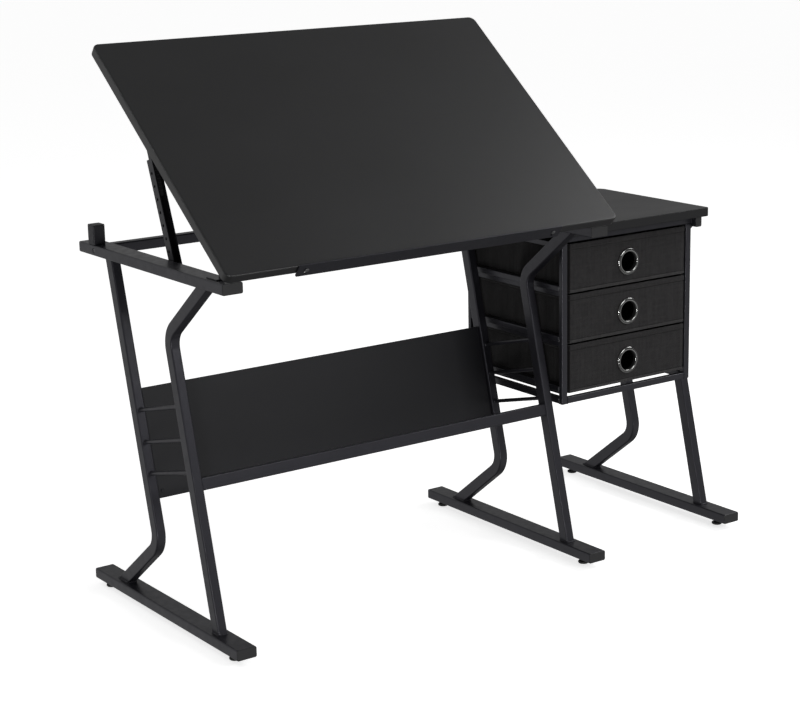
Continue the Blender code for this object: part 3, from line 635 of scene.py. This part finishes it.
def leaned(line, z):
    """A frame at a height on a leg's centre line, its local Z along the leg."""
    (y0, z0), (y1, z1) = line
    share = (z - z0) / (z1 - z0)
    lean = atan2(y1 - y0, z1 - z0)
    return Matrix.Translation((0, y0 + (y1 - y0) * share, z)) @ Matrix.Rotation(-lean, 4, "X")


BAR_FRAME = leaned(FRONT_LINE[:2], BAR_Z)
PANEL_FRAME = leaned(REAR_LINE[1:], PANEL_Z)


def lower_bar():
    lo, hi = local_box("front_lower_bar", BAR_FRAME)
    size = hi - lo
    shape = Shape()
    m = BAR_FRAME @ Matrix.Translation((lo.x, 0, 0)) @ Matrix.Rotation(pi / 2, 4, "Y")
    shape.bar(m, size.z, size.y, size.x, ROUND, 0.0003)
    for x in (lo.x, hi.x):
        m = BAR_FRAME @ Matrix.Translation((x, 0, 0)) @ Matrix.Rotation(pi / 2, 4, "Y")
        weld(shape, [m @ Vector((u, v, 0)) for u, v in rect_loop(size.z, size.y, ROUND, 4)], 0.0013)
    shape.done("front_lower_bar_tube", "frame", (COAT, COAT_WELD), ("front_lower_bar",))


lower_bar()


# ---- boards --------------------------------------------------------------------------------------
def plate_loop(lo, hi, corners, inset):
    """Outline of a board; corners are its radii, counter-clockwise from the lowest X and Y."""
    steps = 10
    places = [(lo[0], lo[1], 1, 1), (hi[0], lo[1], -1, 1), (hi[0], hi[1], -1, -1), (lo[0], hi[1], 1, -1)]
    points = []
    for number, ((x, y, sx, sy), radius) in enumerate(zip(places, corners)):
        cx, cy = x + sx * radius, y + sy * radius
        r = max(radius - inset, 0.0001)
        shift = inset - (radius - r)
        cx, cy = cx + sx * shift, cy + sy * shift
        for k in range(steps + 1):
            angle = pi + number * pi / 2 + k * pi / 2 / steps
            points.append((cx + r * cos(angle), cy + r * sin(angle)))
    return points


def board(node, matrix, corners, edge, body, mats):
    """A laminated board: film above and below, and an edge band with a hair line where they meet."""
    lo, hi = local_box(node, matrix)
    seam = edge + 0.0011        # how far in the band meets the film
    flat = seam + 0.02          # a ring inside the seam, so that the film's face is flat there
    hair = 0.00015              # half the hair line's width
    steps = 6
    rings, tones = [], []

    def add(inset, z, tone):
        rings.append([matrix @ Vector((x, y, z)) for x, y in plate_loop(lo, hi, corners, inset)])
        tones.append(tone)

    add(flat, lo.z, 2)
    add(seam + 2 * hair, lo.z, 2)
    add(seam + hair, lo.z + 0.00025, 1)
    add(seam, lo.z, 1)
    for k in range(steps + 1):
        angle = k * pi / 2 / steps
        add(edge - edge * sin(angle), lo.z + edge - edge * cos(angle), 1)
    for k in range(steps + 1):
        angle = k * pi / 2 / steps
        add(edge - edge * cos(angle), hi.z - edge + edge * sin(angle), 1)
    add(seam, hi.z, 1)
    add(seam + hair, hi.z - 0.00022, 0)
    add(seam + 2 * hair, hi.z, 0)
    add(flat, hi.z, 0)
    shape = Shape()
    shape.skin(rings, mats=tones)
    return shape.done(node + "_panel", body, mats, (node,), sharp=50)


board("tilting_board", BOARD, (0.014,) * 4, 0.0025, "board", (BOARD_TOP, BOARD_EDGE, BOARD_UNDER))
# the side board's edge band is the darker copy: painted shade on its front edge
board("side_board", Matrix.Identity(4), (0.004, 0.006, 0.022, 0.004), 0.0015, "frame",
      (SIDE_TOP, SIDE_EDGE_SHADED, BOARD_UNDER))
PANEL_FLAT = PANEL_FRAME @ Matrix.Rotation(pi / 2, 4, "X")
board("back_panel", PANEL_FLAT, (0.0015,) * 4, 0.0012, "frame", (PANEL, PANEL, PANEL))


# ---- rack ----------------------------------------------------------------------------------------
BAR_ROUND = 0.0026
POST_D = 0.012              # depth of a rack side's upright
FOOT_BAR, HEAD_BAR, LEVEL_BAR = 0.014, 0.012, 0.0125    # heights of a rack side's bars
LEVEL_UP = 0.01025          # centre of a level's bar over the drawer's foot
SHELF = 0.008               # width of the lip that a drawer slides on
LIP_T = 0.0026
WEB_T, WEB_H = 0.006, 0.0072        # the runner's upright web


def rack_side(key, inner):
    """A ladder of tubes with a runner for each drawer on its inner side (inner is +1 or -1)."""
    node = "rack_side_" + key
    lo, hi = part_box(node)
    x0, x1 = (lo.x, hi.x - SHELF) if inner > 0 else (lo.x + SHELF, hi.x)
    x = (x0 + x1) / 2
    w = x1 - x0
    levels = [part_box("drawer_%d" % n)[0].z for n in (1, 2, 3)]
    shape = Shape()
    for y in (lo.y + POST_D / 2, hi.y - POST_D / 2):
        shape.bar(Matrix.Translation((x, y, lo.z)), w, POST_D, hi.z - lo.z, BAR_ROUND)
    y0, y1 = lo.y + POST_D, hi.y - POST_D
    flat = Matrix.Rotation(-pi / 2, 4, "X")
    bars = [(lo.z + FOOT_BAR / 2, FOOT_BAR), (hi.z - HEAD_BAR / 2, HEAD_BAR)]
    bars += [(z + LEVEL_UP, LEVEL_BAR) for z in levels]
    for z, h in bars:
        m = Matrix.Translation((x, y0, z)) @ flat
        shape.bar(m, w - 0.001, h, y1 - y0, 0.0022, 0.0001)
        for y in (y0, y1):
            weld(shape, [(x + u, y, z + v) for u, v in rect_loop(w - 0.002, h, 0.0024, 3)], 0.0009)
    for z in levels:
        edge = x1 if inner > 0 else x0
        xa, xb = sorted((edge - inner * WEB_T, edge))
        drop = 0.0 if z == levels[2] else 0.0024    # the lowest web ends over the foot bar
        m = Matrix.Translation(((xa + xb) / 2, y0, z + 0.0008 - drop)) @ flat
        shape.bar(m, xb - xa, WEB_H + 2 * drop, y1 - y0, 0.0008, 0.0002)
        xa, xb = sorted((edge - inner * 0.0059, edge + inner * SHELF))
        m = Matrix.Translation(((xa + xb) / 2, y0 + 0.004, z - 0.00165)) @ flat
        shape.bar(m, xb - xa, LIP_T, y1 - y0 - 0.008, 0.0008, 0.0002)
    shape.done(node + "_tubes", "frame", (COAT, COAT_WELD), (node,))


rack_side("left", 1)
rack_side("right", -1)
for name in ("rack_beam_front", "rack_beam_rear", "rack_bar_front", "rack_bar_rear"):
    lo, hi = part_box(name)
    centre, size = (lo + hi) / 2, hi - lo
    shape = Shape()
    m = Matrix.Translation((lo.x, centre.y, centre.z)) @ Matrix.Rotation(pi / 2, 4, "Y")
    shape.bar(m, size.z, size.y, size.x, BAR_ROUND, 0.0002)
    for x in (lo.x, hi.x):
        loop = rect_loop(size.y, size.z, BAR_ROUND, 4)
        weld(shape, [(x, centre.y + u, centre.z + v) for u, v in loop], 0.001)
    # the beams get the darker copy of the coat: painted shade
    coat = BEAM_COAT_SHADED if "beam" in name else COAT
    shape.done(name + "_tube", "frame", (coat, COAT_WELD), (name,))


# ---- drawers: fabric over stiff board ------------------------------------------------------------
RIM = 0.0078                # width of a grommet's rim
DRAWER_BODY = {1: "top_drawer", 2: "centre_drawer", 3: "bottom_drawer"}
HEM = 0.0115                # height of the turned hem
FOLD = 0.0075               # height of the bound foot
WALL_CLOTH = 0.0030         # fabric and board together
CLOTH_ROUND = 0.0045
PLEATS = (0.018, 0.028, 0.039, 0.052, 0.068)    # pleats of the sides, behind the front
PLEAT_W, PLEAT_DEEP = 0.0022, 0.0013
STITCH_STEP, STITCH, STITCH_R = 0.0034, 0.0024, 0.00024


def seam_of_stitches(shape, run, centre, w, d):
    """Short threads on a closed line of points about a drawer of width w and depth d."""
    loop = run + run[:1]
    length = 0.0
    for a, b in zip(loop, loop[1:]):
        length += (b - a).length

    def at(s):
        left = s % length
        for a, b in zip(loop, loop[1:]):
            piece = (b - a).length
            if left <= piece:
                return a.lerp(b, left / piece)
            left -= piece
        return loop[-1]

    place = 0.0
    while place < length - STITCH_STEP:
        out = at(place + STITCH / 2) - centre
        if abs(out.y) / d > abs(out.x) / w:
            out = Vector((0, 1 if out.y > 0 else -1, 0))
        else:
            out = Vector((1 if out.x > 0 else -1, 0, 0))
        shape.tube([at(place) - out * 0.0003, at(place + STITCH * 0.2), at(place + STITCH * 0.8),
                    at(place + STITCH) - out * 0.0003], STITCH_R, 5)
        place += STITCH_STEP


def fabric_drawer(n):
    """A bin of fabric over board: pillowed faces, turned hem, bound foot, lining and pleats."""
    node = "drawer_%d" % n
    ring = "grommet_%d" % n
    body = DRAWER_BODY[n]
    lo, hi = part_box(node)
    w, d, h = hi - lo
    cx, cy = (lo.x + hi.x) / 2, (lo.y + hi.y) / 2
    wall = WALL_CLOTH
    hole = mid(ring)
    phases = [rng.uniform(0, 2 * pi) for _ in range(8)]
    inset = 0.0007              # room for the bulge inside the node's box

    def outline(z, grow):
        """One level of the bin; grow is how far the cloth stands out there."""
        points = []
        up = (z - lo.z) / h
        swell = 1 - (2 * up - 1) ** 4
        size = (w - 2 * inset + 2 * grow, d - 2 * inset + 2 * grow)
        for u, v in rect_loop(*size, CLOTH_ROUND, 4, (36, 40)):
            along_x, along_y = 2 * u / w, 2 * v / d
            dx = dy = 0.0
            if abs(along_y) > 0.985:        # front and back; the rest are the sides
                bulge = 0.0006 * swell * (1 - along_x ** 4)
                ripple = sin(19 * u / 0.1 + phases[0]) + sin(7.3 * u / 0.1 + 9 * up + phases[1])
                dy = (bulge + 0.00014 * swell * ripple) * (1 if v > 0 else -1)
            else:
                slack = 0.0007 * swell * (1 - along_y ** 4)
                crease = 0.00035 * swell * sin(13 * v / 0.1 + phases[2] + 3 * up) * (1 - along_y ** 2)
                dx = -(slack + crease) * (1 if u > 0 else -1)
                for place in PLEATS:
                    reach = (v + d / 2 - place) / PLEAT_W
                    dx += -PLEAT_DEEP * exp(-reach * reach) * min(1, swell * 1.6) * (1 if u > 0 else -1)
            points.append(Vector((cx + u + dx, cy + v + dy, z)))
        return points

    top, foot = hi.z, lo.z
    band = 0.00055              # how far hem and binding stand out
    cloth, lining, seam, binding, shaded_side_cloth = range(5)
    # height, how far the cloth stands out there, and its finish: up the outside, down the inside
    # the bound foot's rows take the lighter copy of the cloth, a painted highlight
    levels = [(foot, -0.0022, binding), (foot + 0.0006, -0.0008, binding), (foot + 0.0016, 0.0, binding),
              (foot + 0.0026, band, binding), (foot + FOLD - 0.0012, band, binding),
              (foot + FOLD - 0.0005, band * 0.25, seam), (foot + FOLD, -0.0009, seam),
              (foot + FOLD + 0.0007, -0.0002, cloth)]
    body_levels = 16
    z_a, z_b = foot + FOLD + 0.002, top - HEM - 0.002
    levels += [(z_a + (z_b - z_a) * k / body_levels, 0.0, cloth) for k in range(body_levels + 1)]
    # the seam rows here and over the bound foot are the painted shade in the creases
    levels += [(top - HEM - 0.0008, -0.0003, seam), (top - HEM, -0.0009, seam),
               (top - HEM + 0.0006, band, cloth), (top - 0.008, band, cloth),
               (top - 0.0045, band, cloth), (top - 0.0018, band, cloth),
               (top - 0.0006, 0.0, cloth), (top, -0.0011, cloth), (top - 0.0001, -0.0022, lining),
               (top - 0.0012, -0.0030, lining), (top - 0.004, -0.0032, lining), (top - HEM, -0.0031, lining),
               (top - HEM - 0.0008, -wall + 0.0002, lining)]
    levels += [(z_b - (z_b - z_a) * k / 5, -wall + 0.0002, lining) for k in range(6)]
    levels += [(foot + wall + 0.0004, -wall, lining), (foot + wall, -wall - 0.002, lining)]
    shape = Shape()
    shape.skin([outline(z, grow) for z, grow, _ in levels], mats=[tone for _, _, tone in levels])
    # cloth and bound foot on the sides and back get the darker copy of the cloth: painted shade
    for face in shape.bm.faces:
        place = face.calc_center_median()
        at_side = abs(place.x - cx) > w / 2 - CLOTH_ROUND or place.y > hi.y - CLOTH_ROUND
        if face.material_index in (cloth, binding) and at_side:
            face.material_index = shaded_side_cloth
    piece = shape.done(node + "_cloth", body, (FABRIC, LINING, SEAM_SHADE, FABRIC_BAND_LIT, FABRIC_SIDE_SHADED),
                       (node,), sharp=70, weight=False)
    r = (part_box(ring)[1].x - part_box(ring)[0].x) / 2 - RIM
    m = facing((hole.x, lo.y, hole.z), (0, -1, 0))
    cutter = Shape()
    cutter.lathe([(r + 0.0008, -0.02), (r + 0.0008, 0.02)], m, 64)
    carve(piece, cutter.done("bore_" + str(n), body, (LINING,)))

    stitches = Shape()
    z = top - HEM + 0.0022
    seam_of_stitches(stitches, outline(z, 0.00062), Vector((cx, cy, z)), w, d)
    stitches.done(node + "_stitching", body, (THREAD,), weight=False)

    eyelet = Shape()
    profile = [(r - 0.0006, -0.0048), (r - 0.0006, 0.0012), (r - 0.0004, 0.0026), (r + 0.0006, 0.0036),
               (r + 0.0020, 0.0041), (r + 0.0031, 0.0040), (r + 0.0035, 0.0030), (r + 0.0042, 0.0030),
               (r + 0.0046, 0.0039), (r + 0.0058, 0.0036), (r + 0.0069, 0.0027), (r + 0.0075, 0.0016),
               (r + 0.0076, 0.0008), (r + 0.0070, 0.0004), (r + 0.0010, 0.0004), (r + 0.0003, -0.0004),
               (r + 0.0003, -0.0048)]
    # the barrel, the groove between the eyelet's two rolls and its back are painted shade, not chrome
    chrome, shade_tone = 0, 1
    tones = [shade_tone] * 2 + [chrome] * 4 + [shade_tone] + [chrome] * 7 + [shade_tone] * 3
    eyelet.lathe(profile, m, 72, closed=True, mats=tones)
    back = [(r + 0.0001, -0.0034), (r + 0.0058, -0.0034), (r + 0.0065, -0.0040), (r + 0.0058, -0.0047),
            (r + 0.0025, -0.0052), (r + 0.0001, -0.0053)]
    eyelet.lathe(back, m, 64, closed=True, mat=shade_tone)
    eyelet.done(ring + "_eyelet", body, (CHROME, SEAM_SHADE), (ring,), sharp=60, weight=False)


for n in (1, 2, 3):
    fabric_drawer(n)


# ---- glides --------------------------------------------------------------------------------------
def glide(node):
    """A levelling foot: a knurled pad and a threaded stem."""
    lo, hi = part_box(node)
    x, y = (lo.x + hi.x) / 2, (lo.y + hi.y) / 2
    r = (hi.x - lo.x) / 2
    shape = Shape()
    profile = [(0.0001, 0.0), (r - 0.0024, 0.0), (r - 0.0012, 0.0003), (r - 0.0004, 0.0010),
               (r, 0.0020), (r, 0.0040), (r - 0.0004, 0.0048), (r - 0.0014, 0.0056),
               (r - 0.0030, 0.0061), (0.0062, 0.0064), (0.0058, 0.0070), (0.0040, 0.0071), (0.0001, 0.0072)]
    count = 48
    rings = []
    for k, (radius, z) in enumerate(profile):
        ring = []
        for s in range(count):
            angle = 2 * pi * s / count
            knurl = 0.00022 * (1 if s % 2 else -1) if 4 <= k <= 5 else 0.0
            ring.append(Vector((x + (radius + knurl) * cos(angle), y + (radius + knurl) * sin(angle), z)))
        rings.append(ring)
    shape.skin(rings, 0)
    stem, thread, steps = 0.0035, [], 220
    for k in range(steps + 1):
        angle = 2 * pi * k / 20
        z = 0.0070 + (hi.z - 0.0008 - 0.0070) * k / steps
        thread.append((x + stem * cos(angle), y + stem * sin(angle), z))
    shape.tube(thread, 0.00040, 5, 1)
    shape.lathe([(0.0001, 0.0068), (stem, 0.0068), (stem, hi.z - 0.0005), (0.003, hi.z), (0.0001, hi.z)],
                Matrix.Translation((x, y, 0)), 24, 1)
    shape.done(node + "_foot_pad", node + "_foot", (GLIDE, ZINC), (node,), weight=False)


for key in SIDES:
    for end in ("front", "rear"):
        glide("glide_%s_%s" % (key, end))


# ---- rear rests ----------------------------------------------------------------------------------
PAD_H = 0.0022              # rubber pad on top of each block
for key in ("left", "middle"):
    node = "rear_post_" + key
    lo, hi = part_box(node)
    centre = (lo + hi) / 2
    shape = Shape()
    m = Matrix.Translation((centre.x, centre.y, lo.z))
    shape.bar(m, hi.x - lo.x, hi.y - lo.y, hi.z - lo.z - 0.002, BAR_ROUND, 0.0007, 0)
    pad = Matrix.Translation((centre.x, centre.y, hi.z - PAD_H))
    shape.bar(pad, hi.x - lo.x - 0.0004, hi.y - lo.y - 0.0004, PAD_H, BAR_ROUND, 0.0007, 1)
    shape.done(node + "_block", "frame", (POST, CAP), (node,))


# ---- pencil ledge --------------------------------------------------------------------------------
SLOT_W, SLOT_H = 0.005, 0.013


def pencil_ledge():
    """Flat strip with rolled edges and two slots for its screws."""
    node = "pencil_ledge"
    lo, hi = local_box(node, BOARD)
    turn = Matrix.Rotation(pi / 2, 4, "X")
    shape = Shape()
    m = BOARD @ Matrix.Translation(((lo.x + hi.x) / 2, hi.y, (lo.z + hi.z) / 2)) @ turn
    shape.bar(m, hi.x - lo.x, hi.z - lo.z, hi.y - lo.y, 0.004, 0.0008, 0, 8)
    piece = shape.done(node + "_strip", "ledge", (COAT,), (node,))
    cutters = Shape()
    level = local_box("ledge_screw_left", BOARD)
    level = (level[0].z + level[1].z) / 2
    for side in ("left", "right"):
        x = mid("ledge_screw_" + side).x
        m = BOARD @ Matrix.Translation((x, hi.y + 0.003, level - 0.004)) @ turn
        cutters.bar(m, SLOT_W, SLOT_H, 0.010, SLOT_W / 2 - 0.00001, 0.0001, 0, 8)
    carve(piece, cutters.done("ledge_cut", "ledge", (COAT,)))


pencil_ledge()

# ---- CAD pieces that keep their shape ------------------------------------------------------------
for name, node in frame["nodes"].items():
    if name.startswith(("arm_bracket", "arm_bar")):
        mat = OXIDE
    elif name.startswith("ledge_screw"):
        mat = BLACK_BOLT
    elif name.startswith("arm_channel"):
        mat = ARM_COAT
    elif name.startswith("hinge_"):
        mat = COAT
    else:
        continue
    node.data.materials.clear()
    node.data.materials.append(mat)

# ---- arm studs -----------------------------------------------------------------------------------
STUD_R, STUD_HEAD = 0.0029, 0.0058
studs = Shape()
for key, side in (("left", 1), ("middle", -1)):
    lo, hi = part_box("arm_channel_" + key)
    start = FRAME_X[key] + side * (RAIL_W / 2 - 0.001)
    reach = abs((hi.x if side > 0 else lo.x) - start)
    m = facing((start, ARM_FOOT.y, ARM_FOOT.z), (side, 0, 0))
    studs.lathe([(STUD_R, 0), (STUD_R, reach + 0.0003), (STUD_HEAD - 0.0002, reach + 0.0003),
                 (STUD_HEAD, reach + 0.0008), (0.0050, reach + 0.0018), (0.0020, reach + 0.0022)], m, 32)
studs.done("arm_studs", "frame", (BLACK_BOLT,), weight=False)

# ---- screws under the board and bolts through the back panel -------------------------------------
PLATE_T = 0.002             # the plates that the board's screws hold
under = Shape()
down = BOARD.to_3x3() @ Vector((0, 0, -1))
for key, side in (("left", 1), ("middle", -1)):
    for node, r, inset in (("arm_bracket_", 0.0030, 0.0042), ("hinge_leaf_", 0.0026, 0.0034)):
        lo, hi = local_box(node + key, BOARD)
        x = hi.x - inset if side > 0 else lo.x + inset
        for v in (lo.y + 2 * r, hi.y - 2 * r):
            socket_bolt(under, BOARD @ Vector((x, v, hi.z - PLATE_T)), down, r, 0.0016, 4)
under.done("board_screws", "board", (BLACK_BOLT,))

PANEL_BOLT_X, PANEL_BOLT_Z = 0.010, 0.014       # places of the bolts, from the panel's edges
lo, hi = local_box("back_panel", PANEL_FRAME)
panel_bolts = Shape()
for x in (lo.x + PANEL_BOLT_X, hi.x - PANEL_BOLT_X):
    for z in (lo.z + PANEL_BOLT_Z, hi.z - PANEL_BOLT_Z):
        for y, out in ((lo.y, -1), (hi.y, 1)):
            if out < 0 and z > 0:
                continue        # the upper bolts' heads are only at the rear
            axis = PANEL_FRAME.to_3x3() @ Vector((0, out, 0))
            socket_bolt(panel_bolts, PANEL_FRAME @ Vector((x, y, z)), axis, 0.0036, 0.0020)
panel_bolts.done("panel_bolts", "frame", (ARM_COAT,))

# ---- light, floor and camera ---------------------------------------------------------------------
# The floor is pale and lets no light or mirror image onto the table.
floor_shape = bmesh.new()
bmesh.ops.create_grid(floor_shape, x_segments=1, y_segments=1, size=60)
floor_mesh = bpy.data.meshes.new("floor")
floor_shape.to_mesh(floor_mesh)
floor_shape.free()
floor = bpy.data.objects.new("floor", floor_mesh)
bpy.context.scene.collection.objects.link(floor)
pale = Finish("floor_paper", roughness=0.9, specular=0.0)
pale.put("Base Color", (0.9, 0.9, 0.9, 1))
pale.put("Emission Color", (1, 1, 1, 1))
pale.put("Emission Strength", 0.72)
floor_mesh.materials.append(pale.mat)
floor.visible_diffuse = False
floor.visible_glossy = False
floor.visible_shadow = False

world = bpy.data.worlds.new("studio")
bpy.context.scene.world = world
world.use_nodes = True
world.node_tree.nodes["Background"].inputs["Color"].default_value = (1, 1, 1, 1)


def studio_sky(glows, ambient):
    """Sum of soft lobes of light about some directions, over an even ambient."""
    tree = world.node_tree
    coords = tree.nodes.new("ShaderNodeTexCoord")
    total = None
    for direction, spread, power in glows:
        dot = tree.nodes.new("ShaderNodeVectorMath")
        dot.operation = "DOT_PRODUCT"
        dot.inputs[1].default_value = Vector(direction).normalized()
        tree.links.new(coords.outputs["Generated"], dot.inputs[0])
        lobe = tree.nodes.new("ShaderNodeMapRange")
        lobe.interpolation_type = "SMOOTHSTEP"
        lobe.inputs["From Min"].default_value = cos(radians(spread))
        lobe.inputs["From Max"].default_value = 1.0
        lobe.inputs["To Max"].default_value = power
        tree.links.new(dot.outputs["Value"], lobe.inputs["Value"])
        join = tree.nodes.new("ShaderNodeMath")
        tree.links.new(lobe.outputs[0], join.inputs[0])
        join.inputs[1].default_value = ambient
        if total is not None:
            tree.links.new(total, join.inputs[1])
        total = join.outputs[0]
    tree.links.new(total, tree.nodes["Background"].inputs["Strength"])


# direction, half width in degrees and strength of each lobe
studio_sky((((-0.75, 0.65, 0.0), 70, 0.38), ((0.6, 0.8, 0.1), 60, 0.15), ((0, 0, 1), 80, 0.10),
            ((0.61, -0.75, -0.35), 42, 0.42)), 0.16)


def softbox(name, place, aim, size, power):
    light = bpy.data.lights.new(name, "AREA")
    light.shape = "RECTANGLE"
    light.size, light.size_y = size
    light.energy = power
    obj = bpy.data.objects.new(name, light)
    bpy.context.scene.collection.objects.link(obj)
    obj.location = place
    obj.rotation_mode = "QUATERNION"
    obj.rotation_quaternion = (Vector(aim) - Vector(place)).to_track_quat("-Z", "Y")


# place, aim, width and height, watts
softbox("right_key", (3.2, -0.9, 2.9), (0.2, 0, 0.7), (1.8, 1.8), 50)
softbox("front_fill", (0.9, -3.6, 2.2), (0.2, 0, 0.5), (1.6, 1.2), 35)
softbox("left_strip", (-2.6, -3.5, -0.45), (0.0, 0, 0.3), (0.14, 2.2), 58)
softbox("edge_strip", (-2.4, 0.6, 3.3), (-0.4, 0.0, 0.9), (0.2, 1.4), 8)

camera = bpy.data.cameras.new("camera")
camera.lens = 88.90
camera.sensor_width = 36
camera.sensor_fit = "HORIZONTAL"
camera_obj = bpy.data.objects.new("camera", camera)
bpy.context.scene.collection.objects.link(camera_obj)
# fitted to the photograph together with the table's sizes
EYE = (-2.32099, -3.21150, 1.40954)
YAW, PITCH, ROLL = radians(35.0497), radians(13.7659), radians(-1.16185)
ahead = Vector((sin(YAW) * cos(PITCH), cos(YAW) * cos(PITCH), -sin(PITCH)))
right = Vector((cos(YAW), -sin(YAW), 0))
up = right.cross(ahead)
right_r = right * cos(ROLL) + up * sin(ROLL)
up_r = up * cos(ROLL) - right * sin(ROLL)
turn = Matrix((right_r, up_r, -ahead)).transposed().to_4x4()
camera_obj.matrix_world = Matrix.Translation(EYE) @ turn
bpy.context.scene.camera = camera_obj
bpy.context.scene.view_settings.view_transform = "Standard"

bpy.context.view_layer.update()
